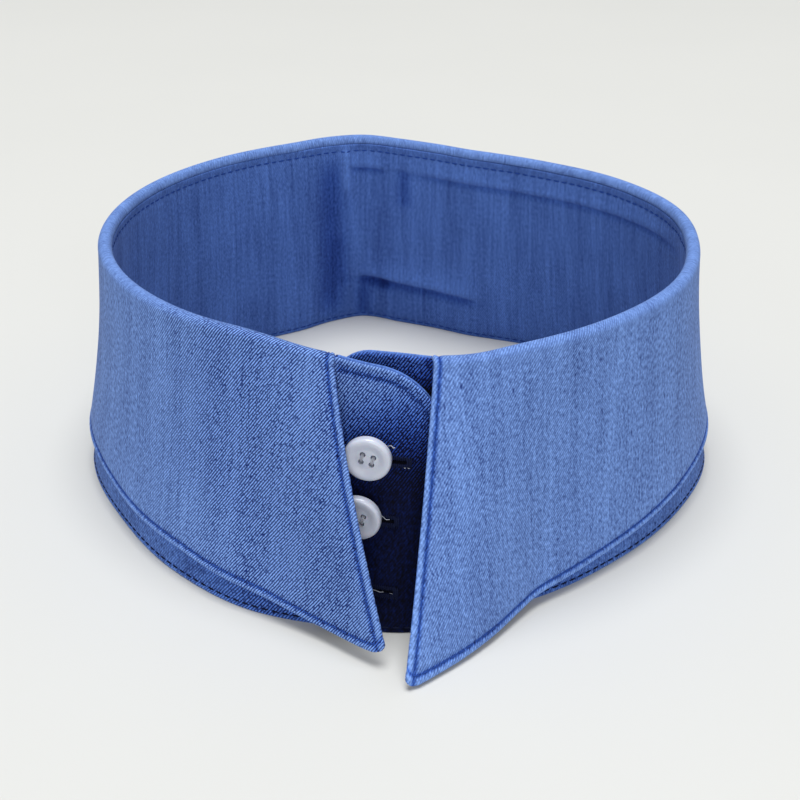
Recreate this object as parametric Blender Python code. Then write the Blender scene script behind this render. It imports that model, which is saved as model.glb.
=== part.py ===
"""A detachable shirt collar that stands, buttoned, on a flat surface.

The stand is one strip of cloth round the neck. Its ends overlap at the centre front: the end that comes
from -X lies on top and carries three buttonholes, and the end that comes from +X is tucked inside it.
The leaf is sewn to the stand's top edge, rolls over it and falls outside, down to a hem and two points.
Three four-hole buttons sit over the buttonholes.

Sizes are in millimetres until a mesh is written in metres. Angles are in degrees round the neck, from the
centre front (-Y) towards +X. A radius is measured from the neck's upright axis to the stand's outer face.
"""

import math
from bisect import bisect_right
from typing import NamedTuple

import bmesh
import bpy
from mathutils import Matrix, Vector

MM = 0.001

# Cloth, sewn in two layers with a fusible between them
STAND_CLOTH = 1.4
LEAF_CLOTH = 1.2
SEAM_GAP = 0.3

# Stand
STAND_HEIGHT = 50.2
STAND_END_LEAN = 2.9
STAND_LEAN_REACH = 28.0
STAND_WAIST = 0.9
TUCK = 3.3
TUCK_FULL_ANGLE = -6.0
TUCK_FREE_ANGLE = 25.0

# Leaf
LEAF_ROLL_RISE = 0.15
LEAF_TIP_FALL = 55.0
LEAF_FLOOR_CLEARANCE = 0.2
SEAM_DIP = 1.1
SEAM_DIP_REACH = 20.0
FREE_END_RISE = 1.9
FREE_END_RISE_REACH = 0.5

# Buttons and buttonholes
BUTTON_DIAMETER = 8.7
BUTTON_THICKNESS = 2.2
BUTTON_RIM_ROUND = 0.6
BUTTON_DISH_DIAMETER = 5.8
BUTTON_DISH_DEPTH = 0.5
BUTTON_HOLE_DIAMETER = 1.1
BUTTON_HOLE_PITCH = 2.0
BUTTON_TILT = 9.0
BUTTONHOLE_LENGTH = 11.4
BUTTONHOLE_WIDTH = 0.8
BUTTONHOLE_DEPTH = 1.8
BUTTONHOLE_DROP = 1.2

# Mesh density
STAND_COLUMNS = 88
STAND_ROWS = 6
CORNER_COLUMNS = 6
FREE_END_COLUMNS = 3
LEAF_COLUMNS = 82
TIP_COLUMNS = 3
ROLL_STEPS = 6
FALL_ROWS = 9
BUTTON_SIDES = 28
HOLE_SIDES = 12


class Station(NamedTuple):
    """The stand's size at one angle round the neck."""

    angle: float
    top: float
    foot: float


class LeafLine(NamedTuple):
    """One line of the leaf, from its seam on the stand's top edge down to its hem."""

    angle: float
    hem_angle: float
    reach: float
    height: float
    belly: float = 0.0


class End(NamedTuple):
    """A free end of the stand, past the leaf's front corner, and the leaf's tip beside it."""

    angle: float
    leaf_corner: float
    rounding: float
    slope: float
    tip_round: float


class Fastening(NamedTuple):
    """A button and the buttonhole behind it."""

    name: str
    angle: float
    height: float
    hole_shift: float


STATIONS = (
    Station(0, 63.6, 73.0),
    Station(6, 64.7, 71.9),
    Station(12, 64.6, 70.3),
    Station(18, 63.4, 68.6),
    Station(25, 62.7, 66.9),
    Station(40, 61.9, 65.2),
    Station(60, 61.8, 65.7),
    Station(80, 61.1, 68.4),
    Station(100, 60.8, 68.0),
    Station(120, 57.9, 65.0),
    Station(140, 54.2, 61.4),
    Station(160, 53.6, 58.8),
    Station(172, 56.9, 61.7),
    Station(180, 60.2, 64.7),
    Station(188, 64.2, 69.2),
    Station(196, 64.3, 67.6),
    Station(206, 62.5, 64.5),
    Station(225, 62.3, 65.8),
    Station(250, 62.2, 68.0),
    Station(275, 61.7, 69.0),
    Station(300, 60.8, 67.3),
    Station(320, 60.3, 69.3),
    Station(336, 60.1, 71.8),
    Station(350, 62.3, 72.1),
)

LEAF_LINES = (
    LeafLine(5.1, 0.6, 16.8, 0.6),
    LeafLine(11.1, 5.4, 12.2, 1.0),
    LeafLine(19.6, 13.3, 6.4, 1.8),
    LeafLine(24.7, 18.0, 3.7, 2.2),
    LeafLine(28.9, 22.1, 2.3, 2.8),
    LeafLine(36.9, 31.6, 2.1, 4.2),
    LeafLine(46.0, 42.7, 2.1, 5.7),
    LeafLine(60.0, 59.0, 2.3, 7.8, -0.2),
    LeafLine(78.0, 77.0, 2.5, 9.5, -0.3),
    LeafLine(105.0, 105.0, 2.4, 9.8, -0.3),
    LeafLine(150.0, 150.0, 2.0, 9.3),
    LeafLine(188.0, 188.0, 2.4, 9.0),
    LeafLine(225.0, 225.0, 2.0, 9.4),
    LeafLine(262.0, 262.0, 2.4, 9.8, -0.3),
    LeafLine(286.0, 287.0, 2.5, 9.5, -0.3),
    LeafLine(305.8, 308.0, 2.1, 8.3, -0.2),
    LeafLine(317.4, 322.0, 2.0, 8.0),
    LeafLine(324.4, 330.5, 2.0, 6.5),
    LeafLine(332.1, 339.6, 2.0, 4.7),
    LeafLine(339.7, 348.4, 4.6, 2.9, 0.9),
    LeafLine(349.6, 358.4, 11.0, 2.5, 1.5),
)

UNDER_END = End(-12.7, LEAF_LINES[0].angle, 9.0, 0.0, 2.4)
UPPER_END = End(365.3, LEAF_LINES[-1].angle, 8.0, 0.14, 3.0)

FASTENINGS = (
    Fastening("button_top", -4.6, 33.5, 0.8),
    Fastening("button_middle", -6.0, 22.4, 0.4),
    Fastening("button_bottom", -8.0, 9.2, 3.0),
)


def read_table(rows, column, angle):
    """Reads a table's column at an angle, on a smooth curve through its rows."""
    last = len(rows) - 1
    index = min(max(bisect_right([row.angle for row in rows], angle) - 1, 0), last - 1)

    def value(i):
        return getattr(rows[i], column)

    def slope(i):
        before, after = max(i - 1, 0), min(i + 1, last)
        return (value(after) - value(before)) / (rows[after].angle - rows[before].angle)

    span = rows[index + 1].angle - rows[index].angle
    t = (angle - rows[index].angle) / span
    rise = value(index + 1) - value(index)
    start, end = slope(index) * span, slope(index + 1) * span
    return value(index) + t * start + t * t * (3 * rise - 2 * start - end) + t**3 * (start + end - 2 * rise)


def wrapped(stations):
    """Repeats the first and last stations a full turn away, so that the ring closes smoothly."""
    before = [row._replace(angle=row.angle - 360) for row in stations[-2:]]
    after = [row._replace(angle=row.angle + 360) for row in stations[:3]]
    return (*before, *stations, *after)


RING = wrapped(STATIONS)


def ease(t):
    """Runs smoothly from 0 to 1 as t does, and stays there outside."""
    t = min(max(t, 0.0), 1.0)
    return t * t * (3 - 2 * t)


def ring_radius(angle, height):
    """The outer face's radius where the ring's upper layer lies."""
    share = height / STAND_HEIGHT
    turned = angle % 360
    straight = (1 - share) * read_table(RING, "foot", turned) + share * read_table(RING, "top", turned)
    return straight - 4 * STAND_WAIST * share * (1 - share)


TOP_MM_PER_DEGREE = math.radians(ring_radius(0, STAND_HEIGHT))


def tuck(angle):
    """How far the stand's under end has moved in, to pass inside the upper end."""
    return TUCK * ease((TUCK_FREE_ANGLE - angle) / (TUCK_FREE_ANGLE - TUCK_FULL_ANGLE))


def around(angle, radius, height):
    """A point, in millimetres, from its angle, radius and height."""
    turn = math.radians(angle)
    return Vector((radius * math.sin(turn), -radius * math.cos(turn), height))


def ring_normal(angle, height):
    """The direction that the ring's outer face looks in."""
    step = 0.5
    along = around(angle + step, ring_radius(angle + step, height), height)
    along -= around(angle - step, ring_radius(angle - step, height), height)
    up = around(angle, ring_radius(angle, height + step), height + step)
    up -= around(angle, ring_radius(angle, height - step), height - step)
    return along.cross(up).normalized()


def spread(start, end, count):
    """Evenly spaced angles from the start up to, but not including, the end."""
    return [start + (end - start) * i / count for i in range(count)]


def quarter_steps(size, count):
    """Distances from 0 towards a rounding's size, closest together at the start."""
    return [size * (1 - math.cos(math.radians(90 * i / count))) for i in range(count)]


def rounding_drop(size, run):
    """How far a rounded corner falls away, at a run back from its end."""
    inside = max(size - run, 0.0)
    return size - math.sqrt(max(size**2 - inside**2, 0.0))


def nearest_end(angle):
    """The free end on an angle's side of the neck."""
    return UNDER_END if angle < 180 else UPPER_END


def end_columns(end):
    """The angles of the stand's columns on one free end, from its tip back to the leaf's corner."""
    inward = 1 if end is UNDER_END else -1
    steps = quarter_steps(end.rounding / TOP_MM_PER_DEGREE, CORNER_COLUMNS)
    rise_start = end.leaf_corner - inward * SEAM_GAP
    rise_end = rise_start - inward * FREE_END_RISE_REACH
    straight = spread(end.angle + inward * end.rounding / TOP_MM_PER_DEGREE, rise_end, FREE_END_COLUMNS)
    return [end.angle + inward * s for s in steps] + straight + [rise_end, rise_start]


def stand_columns():
    """The angles of the stand's columns."""
    under, upper = end_columns(UNDER_END), end_columns(UPPER_END)
    return under[:-1] + spread(under[-1], upper[-1], STAND_COLUMNS) + upper[::-1]


def leaf_columns():
    """The angles of the leaf's columns, closer together at its two tips."""
    under = [s / TOP_MM_PER_DEGREE for s in quarter_steps(UNDER_END.tip_round, TIP_COLUMNS)]
    upper = [s / TOP_MM_PER_DEGREE for s in quarter_steps(UPPER_END.tip_round, TIP_COLUMNS)]
    start = UNDER_END.leaf_corner + UNDER_END.tip_round / TOP_MM_PER_DEGREE
    end = UPPER_END.leaf_corner - UPPER_END.tip_round / TOP_MM_PER_DEGREE
    middle = [*spread(start, end, LEAF_COLUMNS), end]
    return [UNDER_END.leaf_corner + s for s in under] + middle + [UPPER_END.leaf_corner - s for s in upper[::-1]]


def seam_height(angle):
    """The height of the leaf's seam, which dips a little towards the leaf's two front corners."""
    from_corner = min(angle - UNDER_END.leaf_corner, UPPER_END.leaf_corner - angle)
    return STAND_HEIGHT - SEAM_DIP * ease(1 - from_corner / SEAM_DIP_REACH)


def stand_top(angle):
    """The height of the stand's top edge: the leaf's seam, then the free ends with their rounded corners."""
    end = nearest_end(angle)
    beyond = max(UNDER_END.leaf_corner - angle, angle - UPPER_END.leaf_corner, 0.0)
    rise = FREE_END_RISE * ease((beyond - SEAM_GAP) / FREE_END_RISE_REACH) - end.slope * beyond * TOP_MM_PER_DEGREE
    return seam_height(angle) + rise - rounding_drop(end.rounding, abs(end.angle - angle) * TOP_MM_PER_DEGREE)


def stand_point(angle, share):
    """A point of the stand's outer face, a share of the way from its foot to its top edge."""
    height = share * stand_top(angle)
    near_end = ease(1 - (UPPER_END.angle - angle) / STAND_LEAN_REACH)
    leaned = angle - STAND_END_LEAN * near_end * (1 - height / STAND_HEIGHT)
    return around(leaned, ring_radius(leaned, height) - tuck(angle), height)


def roll_point(angle, step):
    """A point of the leaf's right side where it leaves the seam and rolls over the stand's top edge."""
    inner, outer = -STAND_CLOTH, SEAM_GAP + LEAF_CLOTH
    centre, bend = (inner + outer) / 2, (outer - inner) / 2
    turn = math.pi * max(step - 1, 0) / ROLL_STEPS
    out = centre - bend * math.cos(turn)
    rise = SEAM_GAP + (LEAF_ROLL_RISE if step else 0.0) + bend * math.sin(turn)
    radius = ring_radius(angle, STAND_HEIGHT) - tuck(angle)
    return around(angle, radius + out, seam_height(angle) + rise)


def fall_point(angle, share):
    """A point of the leaf's right side, a share of the way down from the roll to the hem."""
    line = LeafLine(angle, *(read_table(LEAF_LINES, name, angle) for name in LeafLine._fields[1:]))
    top_height = seam_height(angle) + SEAM_GAP + LEAF_ROLL_RISE
    top_reach = SEAM_GAP + LEAF_CLOTH - tuck(angle)
    height = top_height + (line.height - top_height) * share
    reach = top_reach + (line.reach - top_reach) * share + line.belly * math.sin(math.pi * share)
    turned = angle + (line.hem_angle - angle) * share
    return around(turned, ring_radius(turned, min(height, STAND_HEIGHT)) + reach, height)


def leaf_point(angle, row):
    """A point of the leaf's right side by its angle at the seam and its row, with the tips rounded off."""
    if row <= ROLL_STEPS + 1:
        return roll_point(angle, row)
    end = nearest_end(angle)
    drop = rounding_drop(end.tip_round, abs(end.leaf_corner - angle) * TOP_MM_PER_DEGREE)
    return fall_point(angle, (row - ROLL_STEPS - 1) / FALL_ROWS * (1 - drop / LEAF_TIP_FALL))


def make_material(name, colour, roughness):
    """A plain surface with a colour and a roughness."""
    material = bpy.data.materials.new(name)
    material.use_nodes = True
    shader = material.node_tree.nodes["Principled BSDF"]
    shader.inputs["Base Color"].default_value = (*colour, 1.0)
    shader.inputs["Roughness"].default_value = roughness
    shader.inputs["Metallic"].default_value = 0.0
    material.diffuse_color = (*colour, 1.0)
    return material


def add_object(name, bm, material):
    """Writes a bmesh, in millimetres, as an object in metres, shaded smooth between its sharp edges."""
    bmesh.ops.recalc_face_normals(bm, faces=bm.faces)
    bm.transform(Matrix.Scale(MM, 4))
    mesh = bpy.data.meshes.new(name)
    bm.to_mesh(mesh)
    bm.free()
    mesh.shade_smooth()
    mesh.set_sharp_from_angle(angle=math.radians(40))
    if material:
        mesh.materials.append(material)
    item = bpy.data.objects.new(name, mesh)
    bpy.context.collection.objects.link(item)
    return item


def cloth_wall(columns, rows, place, thickness):
    """A wall of cloth: a grid laid on the points of its outer face, its rows from low to high, thickened inwards."""
    bm = bmesh.new()
    bmesh.ops.create_grid(bm, x_segments=columns, y_segments=rows, size=0.5)
    for vertex in bm.verts:
        vertex.co = place(round((vertex.co.x + 0.5) * columns), round((vertex.co.y + 0.5) * rows))
    bm.normal_update()
    bmesh.ops.solidify(bm, geom=bm.faces[:], thickness=thickness)
    return bm


def make_stand(material):
    """The stand, with its foot trimmed flat where it rests."""
    angles = stand_columns()
    bm = cloth_wall(
        len(angles) - 1,
        STAND_ROWS,
        lambda column, row: stand_point(angles[column], row / STAND_ROWS),
        STAND_CLOTH,
    )
    for vertex in bm.verts:
        if vertex.co.z < STAND_CLOTH:
            vertex.co.z = 0.0
    stand = add_object("collar_stand", bm, material)
    for fastening in FASTENINGS:
        cut = stand.modifiers.new("buttonhole", "BOOLEAN")
        cut.operation = "DIFFERENCE"
        cut.solver = "EXACT"
        cut.object = make_buttonhole_cutter(fastening)
    return stand


def seat(fastening, lift):
    """The frame of a fastening: X along the buttonhole, Z out of the cloth, lifted off the outer face."""
    normal = ring_normal(fastening.angle, fastening.height)
    radius = ring_radius(fastening.angle, fastening.height)
    across = Vector((0, 0, 1)).cross(normal).normalized()
    turn = Matrix((across, normal.cross(across), normal)).transposed().to_4x4()
    return Matrix.Translation(around(fastening.angle, radius, fastening.height) + lift * normal) @ turn


def make_buttonhole_cutter(fastening):
    """A thin block that cuts a buttonhole through the stand's upper end, and stops short of the under end."""
    bm = bmesh.new()
    bmesh.ops.create_cube(bm, size=1.0)
    bmesh.ops.scale(bm, vec=(BUTTONHOLE_LENGTH, BUTTONHOLE_WIDTH, 2 * BUTTONHOLE_DEPTH), verts=bm.verts)
    bm.transform(seat(fastening, 0.0) @ Matrix.Translation((fastening.hole_shift, -BUTTONHOLE_DROP, 0)))
    cutter = add_object(f"cutter_{fastening.name}", bm, None)
    cutter.hide_render = True
    cutter.display_type = "WIRE"
    return cutter


def make_leaf(material):
    """The leaf, from its seam over the roll to the hem."""
    angles = leaf_columns()
    rows = ROLL_STEPS + 1 + FALL_ROWS
    bm = cloth_wall(
        len(angles) - 1,
        rows,
        lambda column, row: leaf_point(angles[column], rows - row),
        LEAF_CLOTH,
    )
    for vertex in bm.verts:
        vertex.co.z = max(vertex.co.z, LEAF_FLOOR_CLEARANCE)
    return add_object("collar_leaf", bm, material)


def button_profile():
    """Half of a button's section, from the middle of its back to the middle of its dished face."""
    radius, dish = BUTTON_DIAMETER / 2, BUTTON_DISH_DIAMETER / 2
    low, high = BUTTON_RIM_ROUND, BUTTON_THICKNESS - BUTTON_RIM_ROUND
    return (
        (0.0, 0.0),
        (radius - 2 * BUTTON_RIM_ROUND, 0.0),
        (radius - 0.3 * BUTTON_RIM_ROUND, 0.4 * low),
        (radius, low),
        (radius, high),
        (radius - 0.3 * BUTTON_RIM_ROUND, high + 0.7 * BUTTON_RIM_ROUND),
        (radius - BUTTON_RIM_ROUND, BUTTON_THICKNESS),
        (dish + BUTTON_RIM_ROUND, BUTTON_THICKNESS - 0.1),
        (dish, BUTTON_THICKNESS - BUTTON_DISH_DEPTH),
        (0.0, BUTTON_THICKNESS - BUTTON_DISH_DEPTH),
    )


def button_frame(fastening):
    """A button's frame, tipped so that its upper edge stands a little further off the cloth."""
    tilt = Matrix.Rotation(math.radians(BUTTON_TILT), 4, "X")
    lift = SEAM_GAP + BUTTON_DIAMETER / 2 * math.sin(math.radians(BUTTON_TILT))
    return seat(fastening, lift) @ tilt


def make_hole_cutter(fastening):
    """The four thread holes of a button, as four pegs."""
    bm = bmesh.new()
    half = BUTTON_HOLE_PITCH / 2
    for x, y in ((-half, -half), (half, -half), (half, half), (-half, half)):
        bmesh.ops.create_cone(
            bm,
            cap_ends=True,
            segments=HOLE_SIDES,
            radius1=BUTTON_HOLE_DIAMETER / 2,
            radius2=BUTTON_HOLE_DIAMETER / 2,
            depth=3 * BUTTON_THICKNESS,
            matrix=Matrix.Translation((x, y, 0)),
        )
    bm.transform(button_frame(fastening))
    cutter = add_object(f"cutter_holes_{fastening.name}", bm, None)
    cutter.hide_render = True
    cutter.display_type = "WIRE"
    return cutter


def make_button(fastening, material):
    """A dished button with four holes, lying over its buttonhole."""
    bm = bmesh.new()
    points = [bm.verts.new((x, 0.0, z)) for x, z in button_profile()]
    edges = [bm.edges.new(pair) for pair in zip(points, points[1:])]
    bmesh.ops.spin(
        bm,
        geom=points + edges,
        cent=(0, 0, 0),
        axis=(0, 0, 1),
        angle=math.tau,
        steps=BUTTON_SIDES,
        use_merge=True,
    )
    bmesh.ops.remove_doubles(bm, verts=bm.verts, dist=0.001)
    bm.transform(button_frame(fastening))
    button = add_object(fastening.name, bm, material)
    cut = button.modifiers.new("thread_holes", "BOOLEAN")
    cut.operation = "DIFFERENCE"
    cut.solver = "EXACT"
    cut.object = make_hole_cutter(fastening)
    return button


def stand_on_origin(pieces):
    """Moves every mesh so that the origin is the middle of the collar's footprint, on the floor."""
    corners = [vertex.co for piece in pieces for vertex in piece.data.vertices]
    low = Vector((min(c.x for c in corners), min(c.y for c in corners), 0.0))
    high = Vector((max(c.x for c in corners), max(c.y for c in corners), 0.0))
    for item in bpy.data.objects:
        item.data.transform(Matrix.Translation(-(low + high) / 2))


def build():
    """Makes the whole collar."""
    for item in list(bpy.data.objects):
        bpy.data.objects.remove(item, do_unlink=True)
    cloth = make_material("chambray", (0.085, 0.165, 0.48), 0.9)
    pearl = make_material("button", (0.78, 0.8, 0.84), 0.3)
    pieces = [make_stand(cloth), make_leaf(cloth)]
    pieces += [make_button(fastening, pearl) for fastening in FASTENINGS]
    stand_on_origin(pieces)


build()
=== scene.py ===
"""Dresses a detachable shirt collar in its cloth, stitching and buttons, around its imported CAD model.

Lengths are in millimetres until a mesh is written in metres. Angles are in degrees round the neck, from the centre
front (-Y) towards +X. A radius is measured from the neck's upright axis to the stand's outer face.
"""

import logging
import math
from bisect import bisect_right
from dataclasses import dataclass
from enum import Enum
from functools import lru_cache
from typing import Any, Callable, NamedTuple, Sequence

import bmesh
import bpy
from mathutils import Matrix, Vector, noise

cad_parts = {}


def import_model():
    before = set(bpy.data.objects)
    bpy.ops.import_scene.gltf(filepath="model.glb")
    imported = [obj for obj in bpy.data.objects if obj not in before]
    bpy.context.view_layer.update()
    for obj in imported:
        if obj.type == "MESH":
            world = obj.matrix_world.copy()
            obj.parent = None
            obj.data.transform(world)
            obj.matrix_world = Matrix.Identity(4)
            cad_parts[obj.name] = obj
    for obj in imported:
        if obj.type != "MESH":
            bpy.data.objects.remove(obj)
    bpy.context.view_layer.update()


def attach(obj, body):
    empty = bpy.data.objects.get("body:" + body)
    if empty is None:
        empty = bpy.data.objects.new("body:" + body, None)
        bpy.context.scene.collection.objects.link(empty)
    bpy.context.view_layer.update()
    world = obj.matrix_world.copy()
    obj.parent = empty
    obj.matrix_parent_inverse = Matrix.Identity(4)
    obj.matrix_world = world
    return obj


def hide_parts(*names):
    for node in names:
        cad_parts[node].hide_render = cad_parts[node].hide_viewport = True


LOG = logging.getLogger("collar")
MM = 0.001
STITCH_PITCH = 2.1


class Station(NamedTuple):
    """The ring's size at one angle round the neck."""

    angle: float
    top: float
    foot: float


class LeafLine(NamedTuple):
    """One line of the leaf, from its seam on the stand's top edge down to its hem."""

    angle: float
    hem_angle: float
    reach: float
    height: float
    belly: float = 0.0


class End(NamedTuple):
    """A free end of the stand, past the leaf's front corner, and the leaf's tip beside it."""

    angle: float
    leaf_corner: float
    rounding: float
    slope: float
    tip_round: float


class Fastening(NamedTuple):
    """A button and the buttonhole behind it."""

    node: str
    angle: float
    height: float
    hole_shift: float


class Face(Enum):
    """The two faces of a doubled cloth."""

    OUTER = 1
    INNER = -1


STATIONS = (
    Station(0, 63.6, 73.0),
    Station(6, 64.7, 71.9),
    Station(12, 64.6, 70.3),
    Station(18, 63.4, 68.6),
    Station(25, 62.7, 67.3),
    Station(40, 61.9, 65.9),
    Station(60, 61.8, 66.5),
    Station(80, 61.1, 68.9),
    Station(100, 60.8, 68.5),
    Station(120, 57.9, 65.0),
    Station(140, 54.2, 61.4),
    Station(160, 53.6, 58.8),
    Station(172, 56.9, 61.7),
    Station(180, 60.2, 64.7),
    Station(188, 64.2, 69.2),
    Station(196, 64.3, 67.6),
    Station(206, 62.5, 64.5),
    Station(225, 62.3, 65.8),
    Station(250, 62.2, 68.3),
    Station(275, 61.7, 69.5),
    Station(300, 60.8, 67.6),
    Station(320, 60.3, 69.3),
    Station(336, 60.1, 71.8),
    Station(350, 62.3, 72.1),
)

LEAF_LINES = (
    LeafLine(5.1, 0.6, 16.8, 0.6),
    LeafLine(11.1, 5.4, 12.7, 0.7),
    LeafLine(19.6, 13.3, 7.0, 1.2),
    LeafLine(24.7, 18.0, 4.1, 1.8),
    LeafLine(28.9, 22.1, 2.5, 2.6),
    LeafLine(36.9, 31.6, 2.1, 4.2),
    LeafLine(46.0, 42.7, 2.1, 5.7),
    LeafLine(60.0, 59.0, 2.1, 7.7, -0.2),
    LeafLine(78.0, 77.0, 2.0, 9.3, -0.3),
    LeafLine(105.0, 105.0, 1.9, 9.8, -0.3),
    LeafLine(150.0, 150.0, 2.0, 9.3),
    LeafLine(188.0, 188.0, 2.4, 9.0),
    LeafLine(225.0, 225.0, 2.0, 9.4),
    LeafLine(262.0, 262.0, 1.9, 9.8, -0.3),
    LeafLine(286.0, 287.0, 2.0, 9.2, -0.3),
    LeafLine(305.8, 308.0, 1.9, 7.3, -0.2),
    LeafLine(317.4, 322.0, 2.0, 6.8),
    LeafLine(324.4, 330.5, 2.0, 5.8),
    LeafLine(332.1, 339.6, 2.0, 4.5),
    LeafLine(339.7, 348.4, 4.6, 2.9, 0.9),
    LeafLine(349.6, 358.4, 11.0, 2.5, 1.5),
)

UNDER_END = End(-12.7, LEAF_LINES[0].angle, 9.0, 0.0, 2.4)
UPPER_END = End(366.9, LEAF_LINES[-1].angle, 11.0, 0.14, 3.0)

FASTENINGS = (
    Fastening("button_top", -4.6, 33.5, 0.8),
    Fastening("button_middle", -6.0, 22.4, 0.4),
    Fastening("button_bottom", -8.0, 9.2, 3.0),
)


def ease(t: float) -> float:
    """Runs smoothly from 0 to 1 as t does, and stays there outside."""
    t = min(max(t, 0.0), 1.0)
    return t * t * (3 - 2 * t)


@dataclass(frozen=True)
class Ramp:
    """A smooth change from one value to another, between two places."""

    start: float
    end: float
    first: float = 0.0
    last: float = 1.0

    def at(self, place: float) -> float:
        """The value at a place."""
        return self.first + (self.last - self.first) * ease((place - self.start) / (self.end - self.start))


@dataclass(frozen=True)
class Wave:
    """The slow unevenness of a cloth that has been handled."""

    height: float
    across: float
    down: float
    seed: float

    def at(self, along: float, down: float) -> float:
        """How far the cloth stands out at a place on it."""
        return self.height * noise.noise(Vector((along * self.across, down * self.down, self.seed)))


def read_table(rows: Sequence[Any], column: str, angle: float) -> float:
    """Reads a table's column at an angle, on a smooth curve through its rows.

    Args:
        rows: named tuples with an angle, in rising order.
        column: the field to read.
        angle: degrees round the neck.

    Returns:
        The field's value at that angle.
    """
    last = len(rows) - 1
    index = min(max(bisect_right(rows, angle, key=lambda row: row.angle) - 1, 0), last - 1)

    def value(i: int) -> float:
        """The column's value in one row."""
        return getattr(rows[i], column)

    def slope(i: int) -> float:
        """The curve's slope at one row."""
        before, after = max(i - 1, 0), min(i + 1, last)
        return (value(after) - value(before)) / (rows[after].angle - rows[before].angle)

    span = rows[index + 1].angle - rows[index].angle
    t = (angle - rows[index].angle) / span
    rise = value(index + 1) - value(index)
    start, end = slope(index) * span, slope(index + 1) * span
    return value(index) + t * start + t * t * (3 * rise - 2 * start - end) + t**3 * (start + end - 2 * rise)


def closed_ring(stations: Sequence[Station]) -> tuple[Station, ...]:
    """Repeats the first and last stations a full turn away, so that the ring closes smoothly."""
    before = [row._replace(angle=row.angle - 360) for row in stations[-2:]]
    after = [row._replace(angle=row.angle + 360) for row in stations[:3]]
    return (*before, *stations, *after)


RING = closed_ring(STATIONS)


def around(angle: float, radius: float, height: float) -> Vector:
    """A point, in millimetres, from its angle, radius and height."""
    turn = math.radians(angle)
    return Vector((radius * math.sin(turn), -radius * math.cos(turn), height))


def rounding_drop(size: float, run: float) -> float:
    """How far a rounded corner falls away, at a run back from its end."""
    inside = max(size - run, 0.0)
    return size - math.sqrt(max(size**2 - inside**2, 0.0))


def linear(hex_colour: str) -> tuple[float, float, float, float]:
    """Turns an sRGB hex colour into the linear colour that a shader takes."""
    parts = [int(hex_colour[i : i + 2], 16) / 255 for i in (1, 3, 5)]
    return (*(c / 12.92 if c <= 0.04045 else ((c + 0.055) / 1.055) ** 2.4 for c in parts), 1.0)


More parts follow.
